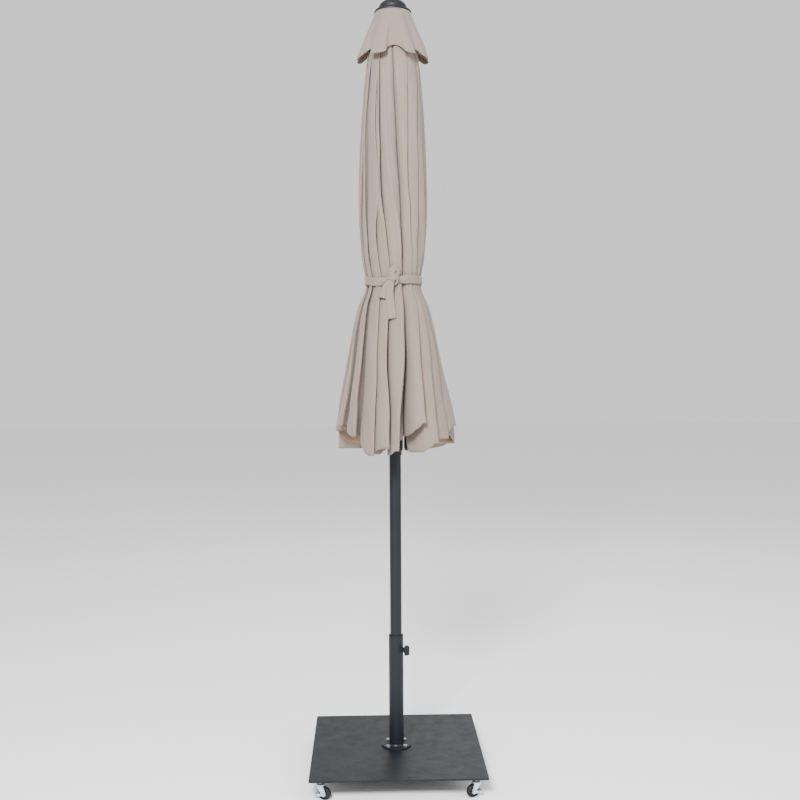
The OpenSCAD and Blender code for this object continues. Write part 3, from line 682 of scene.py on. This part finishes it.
# hollow of the open hem between two ribs, as a share of its reach
HEM_HOLLOW = 0.018


def fan_apex(i):
    """A point on the line that panel i turns about at rest."""
    joint = next(j for j in frame["joints"] if j["name"] == f"canopy_spread_{i}")
    return Vector(joint["pos_m"])


def fan_rows(full, half, apex, out, side, columns=24, count=60):
    """Points of the cloth between two ribs, full radians apart when open, in a strip of twice half."""
    reach = apex.z - FAN_HEM
    rows = []
    for r in range(count + 1):
        row = []
        for c in range(columns + 1):
            w = c / columns
            t = 0.5 - math.sin(math.asin(1 - 2 * w) / 3)
            chord = math.cos(full / 2) / math.cos(w * full - full / 2)
            hollow = 1 - HEM_HOLLOW * (1 - (2 * w - 1) ** 2)
            low = apex.z - reach * chord * hollow
            p = out * (RIB_OUTER + 0.0011) + side * ((2 * t - 1) * half)
            row.append((p.x, p.y, FAN_TOP + (low - FAN_TOP) * r / count))
        rows.append(row)
    return rows


def build_fans():
    """Each gore's cloth between two ribs, gathered along its rib as when folded, with the hem line of the open
    gore.
    """
    full = 2 * math.asin(math.sin(OPEN_ANGLE) * math.sin(math.pi / SECTORS))
    half = 0.0065
    made = []
    for i in range(1, SECTORS + 1):
        out, side = rib_out(i), rib_side(i)
        rows = fan_rows(full, half, fan_apex(i), out, side)
        obj = grid_mesh(f"spread_gore_{i}", rows, lengths_along(rows), [CLOTH_OUT, CLOTH_IN], outward=False)
        thicken(obj, 0.0006)
        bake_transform(obj)
        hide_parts(f"canopy_panel_{i}")
        made.append(obj)
    return made


# ---------------------------------------------------------------- floor, light and camera
FLOOR_HALF = 14.0
# name, place, side and power in watts of each soft light; all face the middle of the umbrella
LIGHTS = [
    ("key", (-0.9, -3.8, 3.4), 1.1, 540),
    ("fill", (3.4, -2.4, 2.2), 2.2, 90),
    ("rim", (1.2, 3.2, 3.4), 2.4, 50),
]
LIT_POINT = Vector((0, 0, 1.2))
# where the camera stands, its tilt down, turn to the right and roll in degrees, and its lens in mm
CAMERA_PLACE = (-0.085, -3.353, 1.399)
PITCH, YAW, ROLL = 3.23, 1.74, -0.28
LENS = 46.67


def floor_and_room():
    mesh = bpy.data.meshes.new("floor")
    corners = [(x * FLOOR_HALF, y * FLOOR_HALF, 0) for x, y in ((-1, -1), (1, -1), (1, 1), (-1, 1))]
    mesh.from_pydata(corners, [], [(0, 1, 2, 3)])
    floor = bpy.data.objects.new("floor", mesh)
    bpy.context.scene.collection.objects.link(floor)
    mesh.materials.append(new_material("pale_floor", (0.92, 0.92, 0.92), 0.8)[0])
    world = bpy.data.worlds.new("studio")
    bpy.context.scene.world = world
    world.use_nodes = True
    back = world.node_tree.nodes["Background"]
    back.inputs["Color"].default_value = (1, 1, 1, 1)
    back.inputs["Strength"].default_value = 1.0


def studio():
    floor_and_room()
    for name, place, size, power in LIGHTS:
        light = bpy.data.lights.new(name, "AREA")
        light.shape = "SQUARE"
        light.size = size
        light.energy = power
        lamp = bpy.data.objects.new(name, light)
        lamp.location = place
        lamp.rotation_mode = "QUATERNION"
        lamp.rotation_quaternion = (LIT_POINT - Vector(place)).to_track_quat("-Z", "Y")
        bpy.context.scene.collection.objects.link(lamp)


def camera():
    pitch, yaw, roll = (math.radians(a) for a in (PITCH, YAW, ROLL))
    forward = Vector((math.sin(yaw) * math.cos(pitch), math.cos(yaw) * math.cos(pitch), -math.sin(pitch)))
    right = Vector((math.cos(yaw), -math.sin(yaw), 0))
    up = right.cross(forward)
    right, up = math.cos(roll) * right + math.sin(roll) * up, -math.sin(roll) * right + math.cos(roll) * up
    data = bpy.data.cameras.new("camera")
    data.sensor_width = 36
    data.lens = LENS
    cam = bpy.data.objects.new("camera", data)
    turn = Matrix((right, up, -forward)).transposed().to_4x4()
    cam.matrix_world = Matrix.Translation(CAMERA_PLACE) @ turn
    bpy.context.scene.collection.objects.link(cam)
    bpy.context.scene.camera = cam


finish_cad()
gores = build_canopy()
vent = build_vent()
strap = build_strap()
knot = build_knot()
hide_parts("tie_strap")
fans = build_fans()
studio()
camera()
